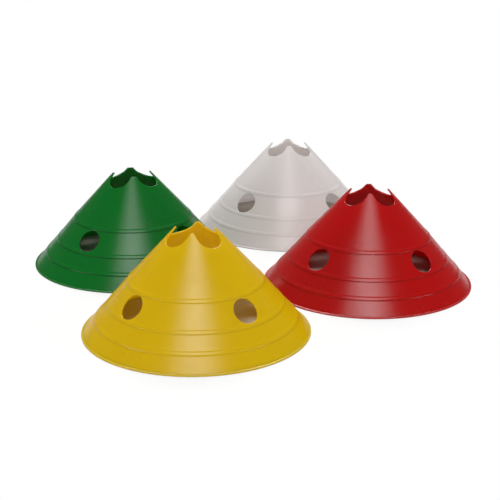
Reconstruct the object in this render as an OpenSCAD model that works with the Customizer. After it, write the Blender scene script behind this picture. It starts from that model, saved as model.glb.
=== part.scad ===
// A set of four sports marker cones in yellow, red, green and white.
// Each cone is one thin moulding that stands by itself, so each is one node.
// The front is the corner between +X and -Y, and all four stand on the plane z = 0.

/* [Cone] */
// Diameter over the lip that the cone stands on
base_d = 320; // [306:1:330]
// How far the lip stands proud of the wall at the ground
lip_proud = 1; // [0.6:0.1:1.6]
// Height of the lip
lip_h = 2.2; // [1.6:0.1:3]
// Thickness of the moulded wall
wall_t = 2.2; // [1.8:0.1:2.6]
// Nominal height of the crown, before it is trimmed
crown_z = 150; // [146:0.5:156]
// Diameter over the wall at the nominal height
crown_d = 56; // [53:0.5:62]

/* [Stiffening beads] */
// Height of the low bead's middle
low_bead_z = 23.2; // [20:0.2:27]
// Diameter over the wall at the low bead
low_bead_d = 280.4; // [277:0.2:283]
// Height of the middle bead's middle
mid_bead_z = 44.7; // [42:0.1:46]
// Diameter over the wall at the middle bead
mid_bead_d = 242.2; // [239:0.2:245]
// Height of the top bead's middle
top_bead_z = 77.5; // [75:0.5:84]
// Diameter over the wall at the top bead
top_bead_d = 187.4; // [184:0.2:190]
// Width of each bead across the slope
bead_w = 5; // [4.4:0.1:6]
// How far each bead stands proud of the wall
bead_proud = 0.8; // [0.5:0.05:1]

/* [Pole holes and crown cut-outs] */
// Diameter of the four pole holes
pole_hole_d = 36.6; // [33:0.2:37]
// Height of a pole hole's middle on the outside of the wall
pole_hole_z = 60.4; // [59:0.1:62]
// Width of the four cut-outs in the crown
cut_out_d = 36.6; // [34:0.2:37.4]
// Height of the middle of a cut-out's round end
cut_out_z = 145; // [143:0.2:147]

/* [Trims at the crown] */
// How much the yellow cone's tips are trimmed below the nominal height
yellow_trim = 0; // [0:0.2:4]
// How much the red cone's tips are trimmed
red_trim = 1.4; // [0:0.2:4]
// How much the green cone's tips are trimmed
green_trim = 2.8; // [0:0.2:4]
// How much the white cone's tips are trimmed
white_trim = 2; // [0:0.2:4]

/* [Places on the ground] */
// Clear ground between the lips of yellow and red, and of green and white
row_gap = 4; // [3:0.1:12]
// Clear ground between the lips of yellow and green, and of red and white
side_gap = 3.4; // [3:0.1:12]
// Direction from yellow to red in degrees, from the X axis
row_way = 82.8; // [80:0.1:90]
// Direction from yellow to green in degrees, from the X axis
side_way = 155.6; // [150:0.1:160]

/* [Turns in degrees] */
// Turn of the yellow cone's pole holes from the X and Y axes
yellow_turn = -5; // [-10:0.5:10]
// Turn of the red cone's pole holes
red_turn = -3; // [-10:0.5:10]
// Turn of the green cone's pole holes
green_turn = 10.5; // [-12:0.5:12]
// Turn of the white cone's pole holes
white_turn = 1; // [-10:0.5:10]

/* [Hidden] */
$fn = 96;
holes_per_cone = 4;
full_turn = 360;
// radii of the outside of the wall at its corners
ground_r = base_d / 2 - lip_proud;
low_r = low_bead_d / 2;
mid_r = mid_bead_d / 2;
top_r = top_bead_d / 2;
crown_r = crown_d / 2;
// run of the wall inwards for each millimetre up, for the whole wall and for two of its stretches
wall_slope = (ground_r - crown_r) / crown_z;
hole_slope = (mid_r - top_r) / (top_bead_z - mid_bead_z);
crown_slope = (top_r - crown_r) / (crown_z - top_bead_z);
// the wall's thickness measured level
level_t = wall_t * norm([wall_slope, 1]);
// how far the tools reach past what they cut, as shares of the wall's thickness
past_share = 1;
reach_share = 8;
out_share = 2;
past = wall_t * past_share;
reach_in = wall_t * reach_share;
reach_out = wall_t * out_share;
// a bead's section is a circle whose cap stands out of the wall, with a groove of the same middle inside
half_bead = bead_w / 2;
bead_r = (half_bead * half_bead + bead_proud * bead_proud) / (2 * bead_proud);
groove_r = bead_r - wall_t;
bead_back = bead_r - bead_proud;
// unit direction out of the wall, level and up
out_x = 1 / norm([wall_slope, 1]);
out_z = wall_slope / norm([wall_slope, 1]);
bead_places = [[low_r, low_bead_z], [mid_r, mid_bead_z], [top_r, top_bead_z]];

// the four cones stand on the corners of a skewed square, whose middle is the origin
row_step = (base_d + row_gap) * [cos(row_way), sin(row_way)];
side_step = (base_d + side_gap) * [cos(side_way), sin(side_way)];
white_place = (row_step + side_step) / 2;
red_place = (row_step - side_step) / 2;
green_place = -red_place;
yellow_place = -white_place;

// radius of the outside of the wall at a height, above the middle bead
function hole_wall_r(z) = mid_r - hole_slope * (z - mid_bead_z);
function crown_wall_r(z) = top_r - crown_slope * (z - top_bead_z);

// outline of everything inside the wall, run past both ends
module hollow_outline(h) {
  under_r = ground_r - level_t + wall_slope * past;
  over_z = h + past;
  over_r = crown_wall_r(over_z) - level_t;
  polygon([
    [0, -past],
    [under_r, -past],
    [low_r - level_t, low_bead_z],
    [mid_r - level_t, mid_bead_z],
    [top_r - level_t, top_bead_z],
    [over_r, over_z],
    [0, over_z]
  ]);
}

// outline of the solid cone, without its beads
module solid_outline(h) {
  polygon([
    [0, 0],
    [base_d / 2, 0],
    [base_d / 2, lip_h],
    [ground_r - (ground_r - low_r) * lip_h / low_bead_z, lip_h],
    [low_r, low_bead_z],
    [mid_r, mid_bead_z],
    [top_r, top_bead_z],
    [crown_wall_r(h), h],
    [0, h]
  ]);
}

// circles on the beads' middles, set back inside the wall
module bead_circles(r) {
  for (place = bead_places)
    translate([place[0] - bead_back * out_x, place[1] - bead_back * out_z])
      circle(r = r);
}

// the wall's section from the ground to the crown
module wall_section(h) {
  difference() {
    union() {
      solid_outline(h);
      bead_circles(bead_r);
    }
    hollow_outline(h);
    bead_circles(groove_r);
  }
}

// round hole square to the wall, for a pole
module pole_hole() {
  lean = atan2(1, hole_slope);
  translate([hole_wall_r(pole_hole_z), 0, pole_hole_z])
    rotate([0, lean, 0])
      translate([0, 0, -reach_in])
        cylinder(h = reach_in + reach_out, d = pole_hole_d);
}

// U-shaped cut-out square to the wall, open at the crown, which is at height h
module cut_out(h) {
  lean = atan2(1, crown_slope);
  reach_up = (h - cut_out_z) * norm([crown_slope, 1]) + reach_in * crown_slope + past;
  translate([crown_wall_r(cut_out_z), 0, cut_out_z])
    rotate([0, lean, 0])
      translate([0, 0, -reach_in]) {
        cylinder(h = reach_in + reach_out, d = cut_out_d);
        translate([-reach_up, -cut_out_d / 2, 0])
          cube([reach_up, cut_out_d, reach_in + reach_out]);
      }
}

// one whole moulding, trimmed at height h
module marker_cone(h) {
  difference() {
    rotate_extrude()
      wall_section(h);
    for (i = [0 : holes_per_cone - 1])
      rotate([0, 0, i * full_turn / holes_per_cone]) {
        pole_hole();
        cut_out(h);
      }
  }
}

module yellow_cone() {
  color("#d9b80b")
    translate(yellow_place)
      rotate([0, 0, yellow_turn])
        marker_cone(crown_z - yellow_trim);
}

module red_cone() {
  color("#b81418")
    translate(red_place)
      rotate([0, 0, red_turn])
        marker_cone(crown_z - red_trim);
}

module green_cone() {
  color("#15702f")
    translate(green_place)
      rotate([0, 0, green_turn])
        marker_cone(crown_z - green_trim);
}

module white_cone() {
  color("#d6d2d2")
    translate(white_place)
      rotate([0, 0, white_turn])
        marker_cone(crown_z - white_trim);
}

yellow_cone();
red_cone();
green_cone();
white_cone();
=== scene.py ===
import logging
import math
from dataclasses import dataclass, field
from enum import Enum

import bpy
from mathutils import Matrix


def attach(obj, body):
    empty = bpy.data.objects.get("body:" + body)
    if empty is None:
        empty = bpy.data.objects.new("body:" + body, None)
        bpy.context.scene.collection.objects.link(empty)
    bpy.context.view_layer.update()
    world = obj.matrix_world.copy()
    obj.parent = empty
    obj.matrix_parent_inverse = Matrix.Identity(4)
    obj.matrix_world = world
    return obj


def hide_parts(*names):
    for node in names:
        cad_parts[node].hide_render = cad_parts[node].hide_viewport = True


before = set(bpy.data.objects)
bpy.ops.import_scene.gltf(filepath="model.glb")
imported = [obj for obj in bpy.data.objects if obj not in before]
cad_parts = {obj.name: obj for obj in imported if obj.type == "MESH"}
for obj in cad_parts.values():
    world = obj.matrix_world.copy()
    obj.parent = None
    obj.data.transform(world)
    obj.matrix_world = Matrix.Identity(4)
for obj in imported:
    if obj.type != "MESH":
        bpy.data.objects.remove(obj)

MM = 0.001
"""One millimetre in metres, the unit of the frame."""

FAR = 1.0
"""Distance in metres that a search for the nearest starts from, beyond all that matters."""

RING_R = 1.0
"""Radius in metres of the path that a section is swept along."""

MIX_A, MIX_B, MIX_RESULT = 6, 7, 2
"""Numbers of the Mix node's two colours in and of its colour out, whose names it uses twice."""

Socket = bpy.types.NodeSocket
Tree = bpy.types.NodeTree
Point = tuple[float, float]

log = logging.getLogger("marker cones")


def linear(code: str) -> tuple[float, float, float, float]:
    """Turn an sRGB hex colour into a linear one.

    Args:
        code: Six hex digits, red first.

    Returns:
        Red, green, blue and an alpha of one.
    """
    parts = [int(code[i:i + 2], 16) / 255 for i in (0, 2, 4)]
    red, green, blue = [p / 12.92 if p <= 0.04045 else ((p + 0.055) / 1.055) ** 2.4 for p in parts]
    return red, green, blue, 1.0


def add(tree: Tree, kind: str, feeds: dict | None = None, **settings) -> bpy.types.Node:
    """Add one node to a tree, with its settings, values and links.

    Args:
        tree: The shader or geometry tree.
        kind: Blender's name for the node's type.
        feeds: For each input, by name or number, a value or the socket that feeds it.
        **settings: The node's own properties.

    Returns:
        The new node.
    """
    node = tree.nodes.new(kind)
    for name, value in settings.items():
        setattr(node, name, value)
    for key, value in (feeds or {}).items():
        if isinstance(value, Socket):
            tree.links.new(value, node.inputs[key])
        else:
            node.inputs[key].default_value = value
    return node


def link(thing: bpy.types.Object) -> bpy.types.Object:
    """Put an object in the scene and hand it back."""
    bpy.context.scene.collection.objects.link(thing)
    return thing


class Side(Enum):
    """The two faces of the moulded wall."""

    OUTER = "outer"
    INNER = "inner"


@dataclass(frozen=True)
class Polyethylene:
    """Low-density polyethylene, injection moulded with its pigment in the melt.

    It gives the eye a satin skin with a broad soft highlight, and a thin wall that daylight
    shines through. The lengths are in millimetres.

    Attributes:
        name: The material's name.
        pigment: Its colour.
        deep: Its colour where the pigment is densest.
        through: The share of the light that the wall lets on.
        foot_shade: How dark the painted shade line along a bead's foot is.
        ior: Its index of refraction.
        specular: Level of the mirrored light.
        satin: Least and greatest roughness.
        cloud: Size of the clouds of pigment.
        cloud_detail: How many finer layers the clouds have.
        cloud_rough: How strong each layer is against the one before.
        cloud_span: The part of the clouds that the roughness follows.
        fine_detail: How many finer layers the specks and the grain have.
        speck: Size of the field that the specks are taken from.
        speck_span: The part of that field that turns into specks.
        speck_share: How much a speck covers.
        scuff: Colour of a speck.
        scuffed: Heights between which the specks grow from none to all.
        feet: Heights of the beads' lower feet.
        foot_shade_span: Distances from a foot between which its painted shade line grows from none
            to all.
        shade: Colour that the painted shade multiplies the pigment by.
        grain: Size of the mould's spark texture.
        grain_depth: Its depth.
        grain_strength: How much of it is seen.
        edge: Radius over which sharp edges are rounded.
        edge_rays: How many rays look for such an edge.
    """

    name: str
    pigment: str
    deep: str
    through: float
    foot_shade: float
    ior: float = 1.51
    specular: float = 0.7
    satin: tuple[float, float] = (0.2, 0.29)
    cloud: float = 60.0
    cloud_detail: float = 3.0
    cloud_rough: float = 0.55
    cloud_span: tuple[float, float] = (0.3, 0.7)
    fine_detail: float = 2.0
    speck: float = 2.2
    speck_span: tuple[float, float] = (0.7, 0.78)
    speck_share: float = 0.25
    scuff: str = "b9b4a6"
    scuffed: tuple[float, float] = (60.0, 4.0)
    feet: tuple[float, ...] = (20.9, 42.4, 75.2)
    foot_shade_span: tuple[float, float] = (1.2, 0.3)
    shade: str = "4a4a4a"
    grain: float = 0.9
    grain_depth: float = 0.1
    grain_strength: float = 0.12
    edge: float = 1.1
    edge_rays: int = 8

    def _colour(self, tree: Tree, spot: Socket, cloud: Socket) -> Socket:
        """Draw the colour of the skin, with its clouds, specks and the painted shade along the
        beads' feet.

        Args:
            tree: The material's tree.
            spot: The place on the object.
            cloud: The clouds of pigment.

        Returns:
            The socket with the colour.
        """
        # the melt's flow leaves clouds of slightly deeper pigment, a hand's width across
        tint = add(tree, "ShaderNodeMix", {
            "Factor": cloud, MIX_A: linear(self.pigment), MIX_B: linear(self.deep)},
            data_type="RGBA").outputs[MIX_RESULT]
        # rubbing on grass and on the next cone of the stack leaves pale specks about 1 mm long,
        # most of them low down
        height = add(tree, "ShaderNodeSeparateXYZ", {"Vector": spot}).outputs["Z"]
        low = add(tree, "ShaderNodeMapRange", {
            "Value": height, "From Min": self.scuffed[0] * MM, "From Max": self.scuffed[1] * MM})
        speck = add(tree, "ShaderNodeTexNoise", {
            "Vector": spot, "Scale": 1 / (self.speck * MM), "Detail": self.fine_detail})
        few = add(tree, "ShaderNodeMapRange", {
            "Value": speck.outputs["Fac"], "From Min": self.speck_span[0],
            "From Max": self.speck_span[1], "To Max": self.speck_share})
        worn = add(tree, "ShaderNodeMath", {0: few.outputs["Result"], 1: low.outputs["Result"]},
                   operation="MULTIPLY").outputs[0]
        rubbed = add(tree, "ShaderNodeMix", {
            "Factor": worn, MIX_A: tint, MIX_B: linear(self.scuff)},
            data_type="RGBA").outputs[MIX_RESULT]
        # painted shade: a dark line about 1 mm wide along the lower foot of each bead
        near = FAR
        for foot in self.feet:
            off = add(tree, "ShaderNodeMath", {0: height, 1: foot * MM}, operation="SUBTRACT")
            away = add(tree, "ShaderNodeMath", {0: off.outputs[0]}, operation="ABSOLUTE")
            near = add(tree, "ShaderNodeMath", {0: near, 1: away.outputs[0]},
                       operation="MINIMUM").outputs[0]
        line = add(tree, "ShaderNodeMapRange", {
            "Value": near, "From Min": self.foot_shade_span[0] * MM,
            "From Max": self.foot_shade_span[1] * MM, "To Max": self.foot_shade}).outputs["Result"]
        return add(tree, "ShaderNodeMix", {
            "Factor": line, MIX_A: rubbed, MIX_B: linear(self.shade)},
            data_type="RGBA", blend_type="MULTIPLY").outputs[MIX_RESULT]

    def material(self) -> bpy.types.Material:
        """Build the finish.

        Returns:
            The node-based material.
        """
        paint = bpy.data.materials.new(self.name)
        paint.use_nodes = True
        tree = paint.node_tree
        tree.nodes.clear()
        spot = add(tree, "ShaderNodeTexCoord").outputs["Object"]
        cloud = add(tree, "ShaderNodeTexNoise", {
            "Vector": spot, "Scale": 1 / (self.cloud * MM), "Detail": self.cloud_detail,
            "Roughness": self.cloud_rough}).outputs["Fac"]
        colour = self._colour(tree, spot, cloud)
        # the mould's fine spark texture, drawn as a bump
        grain = add(tree, "ShaderNodeTexNoise", {
            "Vector": spot, "Scale": 1 / (self.grain * MM), "Detail": self.fine_detail})
        # the edges of the holes and the crown are rounded a little and catch the light
        edge = add(tree, "ShaderNodeBevel", {"Radius": self.edge * MM},
                   samples=self.edge_rays).outputs["Normal"]
        bump = add(tree, "ShaderNodeBump", {
            "Height": grain.outputs["Fac"], "Strength": self.grain_strength,
            "Distance": self.grain_depth * MM, "Normal": edge}).outputs["Normal"]
        # the skin is a little duller where the pigment is dense
        gloss = add(tree, "ShaderNodeMapRange", {
            "Value": cloud, "From Min": self.cloud_span[0], "From Max": self.cloud_span[1],
            "To Min": self.satin[0], "To Max": self.satin[1]}).outputs["Result"]
        skin = add(tree, "ShaderNodeBsdfPrincipled", {
            "Base Color": colour, "Roughness": gloss, "Normal": bump,
            "IOR": self.ior, "Specular IOR Level": self.specular}).outputs["BSDF"]
        # each face of the wall lets part of the light on, so the inside glows in the wall's colour
        shine = add(tree, "ShaderNodeBsdfTranslucent", {"Color": colour}).outputs["BSDF"]
        wall = add(tree, "ShaderNodeMixShader", {0: self.through, 1: skin, 2: shine})
        add(tree, "ShaderNodeOutputMaterial", {"Surface": wall.outputs["Shader"]})
        return paint


@dataclass(frozen=True)
class WallSection:
    """The section of the moulded wall, in millimetres, from the middle out and the ground up.

    Attributes:
        base_d: Diameter over the lip.
        lip_proud: How far the lip stands proud of the wall.
        lip_h: Height of the lip.
        lip_soft: Radius of its upper edge.
        lip_steps: Steps round that edge.
        lip_chamfer: Chamfer of its lower edge.
        wall_t: Thickness of the wall.
        crown_z: Height of the crown before it is trimmed.
        crown_d: Diameter over the wall there.
        beads: Diameter over the wall and height at each bead's middle.
        bead_w: Width of a bead over its feet.
        bead_proud: How far a bead stands proud.
        bead_flank: Width of each of its flanks.
        groove_w: Width of the groove behind it.
        row: Distance between two rows of faces on the plain wall.
        fillet: Distance between the rows at a bead's shoulders and feet.
    """

    base_d: float = 320.0
    lip_proud: float = 1.0
    lip_h: float = 2.2
    lip_soft: float = 0.9
    lip_steps: int = 4
    lip_chamfer: float = 0.3
    wall_t: float = 2.2
    crown_z: float = 150.0
    crown_d: float = 56.0
    beads: tuple[Point, ...] = ((280.4, 23.2), (242.2, 44.7), (187.4, 77.5))
    bead_w: float = 6.8
    bead_proud: float = 0.45
    bead_flank: float = 1.5
    groove_w: float = 3.3
    row: float = 6.0
    fillet: float = 0.35

    @property
    def ground_r(self) -> float:
        """Radius of the wall's outside at the ground, without the lip."""
        return self.base_d / 2 - self.lip_proud

    @property
    def lean(self) -> Point:
        """Unit direction out of the wall.

        Returns:
            Its level part and its upward part.
        """
        slope = (self.ground_r - self.crown_d / 2) / self.crown_z
        size = math.hypot(1, slope)
        return 1 / size, slope / size

    @property
    def level_t(self) -> float:
        """The wall's thickness measured level."""
        return self.wall_t / self.lean[0]

    def corners(self) -> list[Point]:
        """Corners of the wall's outside from the ground to the crown, as radius and height."""
        bent = [(d / 2, z) for d, z in self.beads]
        return [(self.ground_r, 0.0), *bent, (self.crown_d / 2, self.crown_z)]

    def radius(self, z: float) -> float:
        """Radius of the wall's outside at a height.

        Args:
            z: Height above the ground.

        Returns:
            The radius, without beads or lip.
        """
        spots = self.corners()
        stretches = list(zip(spots, spots[1:]))
        (r0, z0), (r1, z1) = next((s for s in stretches if z <= s[1][1]), stretches[-1])
        return r0 + (r1 - r0) * (z - z0) / (z1 - z0)

    def square_to(self, z: float) -> float:
        """Turn about Y in radians that sets an upright tool square to the wall at a height."""
        step = 1.0
        return math.atan2(step, self.radius(z) - self.radius(z + step))

    def face(self, side: Side, top: float) -> list[Point]:
        """Points up one face of the wall, over its beads or through the grooves behind them.

        Args:
            side: Which face.
            top: Height of the trimmed crown.

        Returns:
            Radius and height of each point, from the ground up.
        """
        outer = side is Side.OUTER
        back, wide = (0.0, self.bead_w) if outer else (self.level_t, self.groove_w)
        corners = [(r - back, z) for r, z in self.corners()[:-1]]
        corners.append((self.radius(top) - back, top))
        half, fillet = wide / 2, self.fillet
        shoulder = half - self.bead_flank
        # stations close to a bead's shoulders and feet keep its shading off the plain wall
        near = [shoulder - fillet, shoulder, shoulder + fillet, half - fillet, half, half + fillet]
        near = [spot for spot in near if spot > 0.0]
        path = [corners[0]]
        for k, ((r0, z0), (r1, z1)) in enumerate(zip(corners, corners[1:])):
            reach = math.dist((r0, z0), (r1, z1))
            # every stretch but the first starts at a bead, and every one but the last ends at one
            starts, ends = k > 0, k < len(corners) - 2
            first, last = half if starts else 0.0, half if ends else 0.0
            plain = reach - first - last
            rows = max(1, round(plain / self.row))
            spots = [*near] if starts else []
            spots += [first + plain * j / rows for j in range(1, rows)]
            spots += [reach - spot for spot in reversed(near) if ends] + [reach]
            for spot in spots:
                proud = self._proud(spot, wide) if starts else 0.0
                proud += self._proud(reach - spot, wide) if ends else 0.0
                path.append((r0 + (r1 - r0) * spot / reach + proud * self.lean[0],
                             z0 + (z1 - z0) * spot / reach + proud * self.lean[1]))
        return path

    def _proud(self, away: float, wide: float) -> float:
        """How far a low, flat-topped bead of a width stands proud, away from its middle."""
        return self.bead_proud * min(1.0, max(0.0, (wide / 2 - away) / self.bead_flank))

    def outline(self, top: float) -> list[Point]:
        """The closed outline of the wall's section.

        Args:
            top: Height of the trimmed crown.

        Returns:
            Radius and height of each corner in metres, up the inside and down the outside.
        """
        outer = [p for p in self.face(Side.OUTER, top) if p[1] > self.lip_h]
        lip_r, soft, low = self.base_d / 2, self.lip_soft, self.lip_chamfer
        turns = [math.pi / 2 * j / self.lip_steps for j in range(self.lip_steps + 1)]
        lip = [(lip_r - low, 0.0), (lip_r, low)]
        lip += [(lip_r - soft * (1 - math.cos(a)), self.lip_h - soft * (1 - math.sin(a)))
                for a in turns]
        lip.append((self.radius(self.lip_h), self.lip_h))
        inner = self.face(Side.INNER, top)
        return [(r * MM, z * MM) for r, z in inner + outer[::-1] + lip[::-1]]


class CuttingTree:
    """The Geometry Nodes tree that makes a cone from its section.

    It turns the section into a ring, cuts the pole holes and the cut-outs, and places the cone.
    """

    INPUTS = (
        ("Around", "NodeSocketInt"),
        ("Holes", "NodeSocketInt"),
        ("Pole hole diameter", "NodeSocketFloat"),
        ("Pole hole middle", "NodeSocketVector"),
        ("Pole hole lean", "NodeSocketFloat"),
        ("Cut-out diameter", "NodeSocketFloat"),
        ("Cut-out middle", "NodeSocketVector"),
        ("Cut-out lean", "NodeSocketFloat"),
        ("Cut-out reach", "NodeSocketFloat"),
        ("Tool length", "NodeSocketFloat"),
        ("Place", "NodeSocketVector"),
        ("Turn", "NodeSocketFloat"),
        ("Wave height", "NodeSocketFloat"),
        ("Wave length", "NodeSocketFloat"),
        ("Seed", "NodeSocketFloat"),
        ("Finish", "NodeSocketMaterial"),
    )
    """Names and kinds of the tree's inputs, after the section."""

    TOOL_SIDES = 64
    """Faces round a cutter."""

    JUST_UNDER = -1e-5
    """Limit in metres that leaves the cutter's two middle corners out of its upper half."""

    STILL_Z, WAVY_Z = 2 * MM, 20 * MM
    """Heights between which the waves grow from none to all."""

    WAVE_DETAIL = 1.0
    """How many finer layers the waves have."""

    CREASE = math.radians(20)
    """Edges that fold more than this stay sharp."""

    def __init__(self, name: str) -> None:
        """Build the tree.

        Args:
            name: The node group's name.
        """
        self.tree = bpy.data.node_groups.new(name, "GeometryNodeTree")
        face = self.tree.interface
        face.new_socket(name="Geometry", in_out="INPUT", socket_type="NodeSocketGeometry")
        self.keys = {name: face.new_socket(name=name, in_out="INPUT", socket_type=kind).identifier
                     for name, kind in self.INPUTS}
        face.new_socket(name="Geometry", in_out="OUTPUT", socket_type="NodeSocketGeometry")
        have = add(self.tree, "NodeGroupInput").outputs
        cut = self._cut(have, self._ring(have))
        done = self._finished(have, self._crisp(self._waved(have, cut)))
        add(self.tree, "NodeGroupOutput", {"Geometry": done})

    def _ring(self, have: bpy.types.NodeOutputs) -> Socket:
        """Sweep the section round the middle.

        Args:
            have: The tree's inputs.

        Returns:
            The ring's geometry.
        """
        tree = self.tree
        line = add(tree, "GeometryNodeMeshToCurve", {"Mesh": have["Geometry"]}).outputs[0]
        path = add(tree, "GeometryNodeCurvePrimitiveCircle", {
            "Resolution": have["Around"], "Radius": RING_R}).outputs[0]
        path = add(tree, "GeometryNodeSetCurveNormal", {"Curve": path}, mode="Z_UP").outputs[0]
        return add(tree, "GeometryNodeCurveToMesh", {
            "Curve": path, "Profile Curve": line}).outputs[0]

    def _tool(self, have: bpy.types.NodeOutputs, kind: str, reach: Socket | None) -> Socket:
        """Make a round cutter square to the wall, or one drawn out up the slope.

        Args:
            have: The tree's inputs.
            kind: What it cuts, as the inputs' names begin.
            reach: How far its upper half is drawn out, or nothing for a round hole.

        Returns:
            The cutter's geometry.
        """
        tree = self.tree
        half = add(tree, "ShaderNodeMath", {0: have[f"{kind} diameter"], 1: 0.5},
                   operation="MULTIPLY").outputs[0]
        body = add(tree, "GeometryNodeMeshCylinder", {
            "Vertices": self.TOOL_SIDES, "Radius": half, "Depth": have["Tool length"]}).outputs[0]
        if reach is not None:
            here = add(tree, "GeometryNodeInputPosition").outputs[0]
            up = add(tree, "ShaderNodeSeparateXYZ", {0: here}).outputs["X"]
            upper = add(tree, "FunctionNodeCompare", {0: up, 1: self.JUST_UNDER},
                        operation="LESS_THAN").outputs[0]
            out = add(tree, "ShaderNodeMath", {0: reach, 1: -1.0}, operation="MULTIPLY").outputs[0]
            move = add(tree, "ShaderNodeCombineXYZ", {"X": out}).outputs[0]
            body = add(tree, "GeometryNodeSetPosition", {
                "Geometry": body, "Selection": upper, "Offset": move}).outputs[0]
        turn = add(tree, "ShaderNodeCombineXYZ", {"Y": have[f"{kind} lean"]}).outputs[0]
        return add(tree, "GeometryNodeTransform", {
            "Geometry": body, "Translation": have[f"{kind} middle"], "Rotation": turn}).outputs[0]

    def _cut(self, have: bpy.types.NodeOutputs, ring: Socket) -> Socket:
        """Cut the pole holes and the cut-outs, one of each for every share of the ring.

        Args:
            have: The tree's inputs.
            ring: The ring's geometry.

        Returns:
            The cut ring's geometry.
        """
        tree = self.tree
        both = add(tree, "GeometryNodeJoinGeometry")
        for kind, reach in (("Pole hole", None), ("Cut-out", have["Cut-out reach"])):
            tree.links.new(self._tool(have, kind, reach), both.inputs[0])
        spots = add(tree, "GeometryNodePoints", {"Count": have["Holes"]}).outputs[0]
        share = add(tree, "ShaderNodeMath", {0: math.tau, 1: have["Holes"]}, operation="DIVIDE")
        index = add(tree, "GeometryNodeInputIndex").outputs[0]
        angle = add(tree, "ShaderNodeMath", {0: index, 1: share.outputs[0]},
                    operation="MULTIPLY").outputs[0]
        about = add(tree, "ShaderNodeCombineXYZ", {"Z": angle}).outputs[0]
        tools = add(tree, "GeometryNodeInstanceOnPoints", {
            "Points": spots, "Instance": both.outputs[0], "Rotation": about}).outputs[0]
        return add(tree, "GeometryNodeMeshBoolean", {"Mesh 1": ring, "Mesh 2": tools},
                   operation="DIFFERENCE", solver="MANIFOLD").outputs["Mesh"]

    def _waved(self, have: bpy.types.NodeOutputs, cut: Socket) -> Socket:
        """Give the wall the slow waves that a thin moulding takes as it cools.

        They only go inwards, and there are none at the lip.

        Args:
            have: The tree's inputs.
            cut: The cut ring's geometry.

        Returns:
            The waved ring's geometry.
        """
        tree = self.tree
        here = add(tree, "GeometryNodeInputPosition").outputs[0]
        size = add(tree, "ShaderNodeMath", {0: 1.0, 1: have["Wave length"]},
                   operation="DIVIDE").outputs[0]
        noise = add(tree, "ShaderNodeTexNoise", {
            "Vector": here, "W": have["Seed"], "Scale": size, "Detail": self.WAVE_DETAIL},
            noise_dimensions="4D").outputs["Fac"]
        parts = add(tree, "ShaderNodeSeparateXYZ", {0: here}).outputs
        rise = add(tree, "ShaderNodeMapRange", {
            "Value": parts["Z"], "From Min": self.STILL_Z, "From Max": self.WAVY_Z})
        depth = rise.outputs["Result"]
        for factor in (noise, have["Wave height"]):
            depth = add(tree, "ShaderNodeMath", {0: factor, 1: depth},
                        operation="MULTIPLY").outputs[0]
        way = add(tree, "ShaderNodeCombineXYZ", {"X": parts["X"], "Y": parts["Y"]}).outputs[0]
        way = add(tree, "ShaderNodeVectorMath", {0: way}, operation="NORMALIZE").outputs[0]
        for factor in ((-1.0, -1.0, 0.0), depth):
            way = add(tree, "ShaderNodeVectorMath", {0: way, 1: factor},
                      operation="MULTIPLY").outputs[0]
        return add(tree, "GeometryNodeSetPosition", {"Geometry": cut, "Offset": way}).outputs[0]

    def _crisp(self, waved: Socket) -> Socket:
        """Shade the faces smooth and keep the sharp edges.

        Args:
            waved: The waved ring's geometry.

        Returns:
            The same geometry, shaded.
        """
        tree = self.tree
        smooth = add(tree, "GeometryNodeSetShadeSmooth", {0: waved, "Shade Smooth": True},
                     domain="FACE").outputs[0]
        fold = add(tree, "GeometryNodeInputMeshEdgeAngle").outputs["Unsigned Angle"]
        sharp = add(tree, "FunctionNodeCompare", {0: fold, 1: self.CREASE},
                    operation="GREATER_THAN").outputs[0]
        return add(tree, "GeometryNodeSetShadeSmooth", {
            0: smooth, "Selection": sharp, "Shade Smooth": False}, domain="EDGE").outputs[0]

    def _finished(self, have: bpy.types.NodeOutputs, crisp: Socket) -> Socket:
        """Put the cone in its place and give it its finish.

        Args:
            have: The tree's inputs.
            crisp: The shaded ring's geometry.

        Returns:
            The finished geometry.
        """
        tree = self.tree
        spin = add(tree, "ShaderNodeCombineXYZ", {"Z": have["Turn"]}).outputs[0]
        placed = add(tree, "GeometryNodeTransform", {
            "Geometry": crisp, "Translation": have["Place"], "Rotation": spin}).outputs[0]
        whole = add(tree, "GeometryNodeRealizeInstances", {0: placed}).outputs[0]
        return add(tree, "GeometryNodeSetMaterial", {
            "Geometry": whole, "Material": have["Finish"]}).outputs[0]


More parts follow.
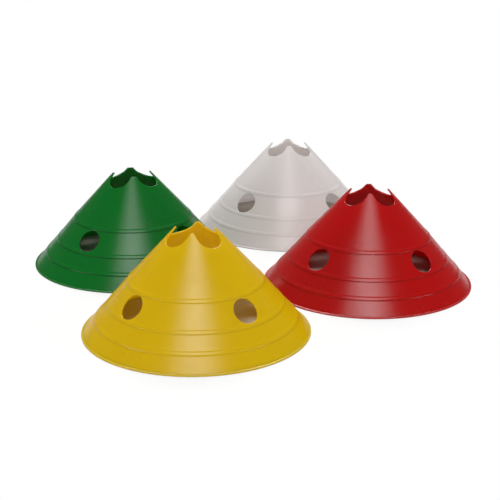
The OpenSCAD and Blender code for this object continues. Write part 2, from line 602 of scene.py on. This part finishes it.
@dataclass
class MarkerCone:
    """One marker cone: a thin wall with a lip, three beads, pole holes and a crown of points.

    Attributes:
        colour: Its colour, which names its body, its node and its object.
        place: Its place on the ground, in millimetres.
        turn: Its turn in degrees.
        height: Height of its trimmed crown, in millimetres.
        finish: Its plastic.
        seed: Seed of its waves.
        section: The section of its wall.
        around: Faces round it.
        holes: How many pole holes, and how many cut-outs.
        pole_hole_d: Diameter of a pole hole, in millimetres.
        pole_hole_z: Height of its middle.
        cut_out_d: Width of a cut-out.
        cut_out_z: Height of the middle of its round end.
        cut_out_reach: How far the cut-out's tool is drawn out up the slope.
        tool_length: Length of both tools.
        wave_height: Depth of the waves.
        wave_length: Their length.
    """

    colour: str
    place: Point
    turn: float
    height: float
    finish: Polyethylene
    seed: float
    section: WallSection = field(default_factory=WallSection)
    around: int = 192
    holes: int = 4
    pole_hole_d: float = 36.6
    pole_hole_z: float = 60.4
    cut_out_d: float = 36.6
    cut_out_z: float = 145.0
    cut_out_reach: float = 24.0
    tool_length: float = 24.0
    wave_height: float = 0.35
    wave_length: float = 70.0

    def _values(self, paint: bpy.types.Material) -> dict:
        """The cutting tree's inputs for this cone.

        Args:
            paint: Its material.

        Returns:
            For each input's name, its value in metres and radians.
        """
        wall, hole_z, slot_z = self.section, self.pole_hole_z, self.cut_out_z
        return {
            "Around": self.around,
            "Holes": self.holes,
            "Pole hole diameter": self.pole_hole_d * MM,
            "Pole hole middle": (wall.radius(hole_z) * MM, 0.0, hole_z * MM),
            "Pole hole lean": wall.square_to(hole_z),
            "Cut-out diameter": self.cut_out_d * MM,
            "Cut-out middle": (wall.radius(slot_z) * MM, 0.0, slot_z * MM),
            "Cut-out lean": wall.square_to(slot_z),
            "Cut-out reach": self.cut_out_reach * MM,
            "Tool length": self.tool_length * MM,
            "Place": (self.place[0] * MM, self.place[1] * MM, 0.0),
            "Turn": math.radians(self.turn),
            "Wave height": self.wave_height * MM,
            "Wave length": self.wave_length * MM,
            "Seed": self.seed,
            "Finish": paint,
        }

    def build(self, tool: CuttingTree) -> bpy.types.Object:
        """Make the cone's mesh with the cutting tree.

        Args:
            tool: The tree that turns and cuts the section.

        Returns:
            The finished object, with its place in its mesh.
        """
        mesh = bpy.data.meshes.new(f"{self.colour} section")
        # the section is drawn from the path that it is swept along, with its height downwards
        points = [(r - RING_R, -z, 0.0) for r, z in self.section.outline(self.height)]
        edges = [(i, (i + 1) % len(points)) for i in range(len(points))]
        mesh.from_pydata(points, edges, [])
        raw = link(bpy.data.objects.new(f"{self.colour} section", mesh))
        make = raw.modifiers.new("turn and cut", "NODES")
        make.node_group = tool.tree
        paint = self.finish.material()
        for name, value in self._values(paint).items():
            make[tool.keys[name]] = value
        graph = bpy.context.evaluated_depsgraph_get()
        baked = bpy.data.meshes.new_from_object(raw.evaluated_get(graph), depsgraph=graph)
        bpy.data.objects.remove(raw)
        # the cutters leave an empty slot, so the finish is given the first one
        baked.materials.clear()
        baked.materials.append(paint)
        baked.polygons.foreach_set("material_index", [0] * len(baked.polygons))
        return link(bpy.data.objects.new(f"{self.colour}_moulding", baked))

    def dress(self, cone: bpy.types.Object) -> bpy.types.Object:
        """Put the cone on its body, in the place of its CAD solid.

        Args:
            cone: The finished object.

        Returns:
            The same object.
        """
        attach(cone, self.colour)
        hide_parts(f"{self.colour}_cone")
        return cone


@dataclass(frozen=True)
class Bank:
    """One broad bank of soft light, turned to the middle of the set.

    Attributes:
        name: Its name.
        aside: Its direction from the camera's side of the set, in degrees to the right.
        up: How high it stands, in degrees.
        wide: Its width in metres.
        tall: Its height in metres.
        watts: Its power.
        away: Its distance in metres.
    """

    name: str
    aside: float
    up: float
    wide: float
    tall: float
    watts: float
    away: float = 8.0

    def build(self, heading: float) -> None:
        """Hang the bank.

        Args:
            heading: Direction of the camera's side of the set in degrees, from the X axis.
        """
        data = bpy.data.lights.new(self.name, "AREA")
        data.shape, data.energy = "RECTANGLE", self.watts
        data.size, data.size_y = self.wide, self.tall
        lamp = bpy.data.objects.new(self.name, data)
        way, rise = math.radians(heading + self.aside), math.radians(self.up)
        level = self.away * math.cos(rise)
        lamp.location = level * math.cos(way), level * math.sin(way), self.away * math.sin(rise)
        lamp.rotation_euler = (-lamp.location).to_track_quat("-Z", "Y").to_euler()
        link(lamp)


@dataclass
class Studio:
    """The camera at the photograph's angle, the pale floor and the soft light.

    Attributes:
        places: Places of the cones on the ground, in millimetres.
        eye: The camera's place in metres.
        down: How far it looks down, in degrees.
        turned: Its turn about Z, in degrees.
        lens: Its focal length in millimetres.
        sensor: Width of its sensor in millimetres.
        slab: Half the floor's width in metres.
        foot: Distance from a cone's middle at which the white paint begins, in metres.
        white_floor: Distance at which it is all white.
        pale: Share of white at a cone's foot.
        cover: Height up to which things stand right over the floor, in metres.
        covered: Shares of open sky over the floor between which it turns from painted shade to
            plain.
        cover_rays: How many rays look for what stands over the floor.
        room: Strength of the room's light.
    """

    places: tuple[Point, ...]
    eye: tuple[float, float, float] = (1.2935, -1.2884, 0.6439)
    down: float = 18.487
    turned: float = 45.0
    lens: float = 87.41
    sensor: float = 36.0
    slab: float = 12.0
    foot: float = 0.162
    white_floor: float = 0.42
    pale: float = 0.6
    cover: float = 0.25
    covered: tuple[float, float] = (0.32, 0.44)
    cover_rays: int = 16
    room: float = 0.16

    WHITE = (1.0, 1.0, 1.0, 1.0)
    WORN, PLAIN = "bcb4aa", "dedede"
    # Colours of the floor's painted shade under a cone and of the plain floor.
    """Colours of the worn floor under a cone and of the plain floor."""

    BANKS = (
        # the front of each wall mirrors these two, as a pale band that fades to both sides
        Bank("key bank", 0.0, 58.0, 2.6, 3.2, 155.0),
        Bank("key bank's wide skirt", 0.0, 58.0, 5.4, 3.2, 150.0),
        # these light the sides and stand where no plain wall mirrors them into the camera
        Bank("front fill", 0.0, 12.0, 4.0, 1.6, 100.0),
        Bank("right bank", 64.0, 9.0, 3.6, 2.0, 150.0),
        Bank("left bank", -64.0, 9.0, 3.6, 2.0, 160.0),
        # this one comes over the set, and draws a bead as a pale shoulder and a dark foot
        Bank("back bank", 180.0, 50.0, 4.0, 3.0, 690.0),
    )

    def camera(self) -> None:
        """Set up the camera."""
        data = bpy.data.cameras.new("camera")
        data.lens, data.sensor_width = self.lens, self.sensor
        eye = link(bpy.data.objects.new("camera", data))
        eye.location = self.eye
        eye.rotation_euler = (math.radians(90 - self.down), 0.0, math.radians(self.turned))
        bpy.context.scene.camera = eye

    def _paint(self) -> bpy.types.Material:
        """Mix the floor's paint, which runs up into a white backdrop around the set.

        Returns:
            The node-based material.
        """
        paint = bpy.data.materials.new("matt white floor paint")
        paint.use_nodes = True
        tree = paint.node_tree
        tree.nodes.clear()
        glow = add(tree, "ShaderNodeEmission", {"Color": self.WHITE, "Strength": 1.0}).outputs[0]
        # it is plain at the cones' feet and white further off
        spot = add(tree, "ShaderNodeTexCoord").outputs["Object"]
        near = FAR
        for x, y in self.places:
            away = add(tree, "ShaderNodeVectorMath", {0: spot, 1: (x * MM, y * MM, 0.0)},
                       operation="DISTANCE").outputs["Value"]
            near = add(tree, "ShaderNodeMath", {0: near, 1: away}, operation="MINIMUM").outputs[0]
        far = add(tree, "ShaderNodeMapRange", {
            "Value": near, "From Min": self.foot, "From Max": self.white_floor,
            "To Min": self.pale}, interpolation_type="SMOOTHSTEP").outputs["Result"]
        # painted shade: it is greyer wherever something stands right over it, as inside a cone
        above = add(tree, "ShaderNodeAmbientOcclusion", {"Distance": self.cover},
                    samples=self.cover_rays).outputs["AO"]
        open_sky = add(tree, "ShaderNodeMapRange", {
            "Value": above, "From Min": self.covered[0], "From Max": self.covered[1]})
        clear = open_sky.outputs["Result"]
        tint = add(tree, "ShaderNodeMix", {
            "Factor": clear, MIX_A: linear(self.WORN), MIX_B: linear(self.PLAIN)},
            data_type="RGBA").outputs[MIX_RESULT]
        matt = add(tree, "ShaderNodeBsdfDiffuse", {"Color": tint}).outputs[0]
        seen = add(tree, "ShaderNodeLightPath").outputs["Is Camera Ray"]
        part = clear
        for factor in (far, seen):
            part = add(tree, "ShaderNodeMath", {0: factor, 1: part},
                       operation="MULTIPLY").outputs[0]
        mix = add(tree, "ShaderNodeMixShader", {0: part, 1: matt, 2: glow}).outputs[0]
        add(tree, "ShaderNodeOutputMaterial", {"Surface": mix})
        return paint

    def floor(self) -> None:
        """Lay the pale floor."""
        mesh = bpy.data.meshes.new("floor")
        half = self.slab
        corners = [(-half, -half, 0), (half, -half, 0), (half, half, 0), (-half, half, 0)]
        mesh.from_pydata(corners, [], [(0, 1, 2, 3)])
        slab = link(bpy.data.objects.new("floor", mesh))
        mesh.materials.append(self._paint())

    def sky(self) -> None:
        """Light the room with an even pale grey that the camera sees as white."""
        world = bpy.data.worlds.new("room")
        bpy.context.scene.world = world
        world.use_nodes = True
        tree = world.node_tree
        tree.nodes.clear()
        room, white = [
            add(tree, "ShaderNodeBackground", {"Color": self.WHITE, "Strength": force}).outputs[0]
            for force in (self.room, 1.0)]
        seen = add(tree, "ShaderNodeLightPath").outputs["Is Camera Ray"]
        mix = add(tree, "ShaderNodeMixShader", {0: seen, 1: room, 2: white}).outputs[0]
        add(tree, "ShaderNodeOutputWorld", {"Surface": mix})

    def build(self) -> None:
        """Set up the whole studio."""
        bpy.context.scene.view_settings.view_transform = "Standard"
        self.camera()
        self.floor()
        self.sky()
        for bank in self.BANKS:
            bank.build(self.turned - 90)


def cones() -> list[MarkerCone]:
    """The four cones of the set, with their places, turns, trimmed heights and finishes.

    Returns:
        The cones, the one in front first.
    """
    # the last number of each finish is how dark its painted shade along the beads' feet is
    yellow = Polyethylene("yellow moulded polyethylene", "f0d402", "eacc00", 0.52, foot_shade=0.13)
    red = Polyethylene("red moulded polyethylene", "ce0303", "c60202", 0.42, foot_shade=0.33)
    green = Polyethylene("green moulded polyethylene", "028a2d", "017e25", 0.5, foot_shade=0.5)
    white = Polyethylene("white moulded polyethylene", "f2eeed", "eae6e4", 0.42, foot_shade=0.04)
    return [
        MarkerCone("yellow", (126.95, -227.52), -5.0, 150.0, yellow, seed=1.0),
        MarkerCone("red", (167.56, 93.92), -3.0, 148.6, red, seed=2.0),
        MarkerCone("green", (-167.56, -93.92), 10.5, 147.2, green, seed=3.0),
        MarkerCone("white", (-126.95, 227.52), 1.0, 148.0, white, seed=4.0),
    ]


def main() -> None:
    """Build the studio and the four cones."""
    logging.basicConfig(level=logging.INFO, format="%(name)s: %(message)s")
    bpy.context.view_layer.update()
    made_set = cones()
    Studio(places=tuple(cone.place for cone in made_set)).build()
    tool = CuttingTree("turned and cut cone")
    for cone in made_set:
        made = cone.dress(cone.build(tool))
        log.info("%s: %d faces", made.name, len(made.data.polygons))


if __name__ == "__main__":
    main()
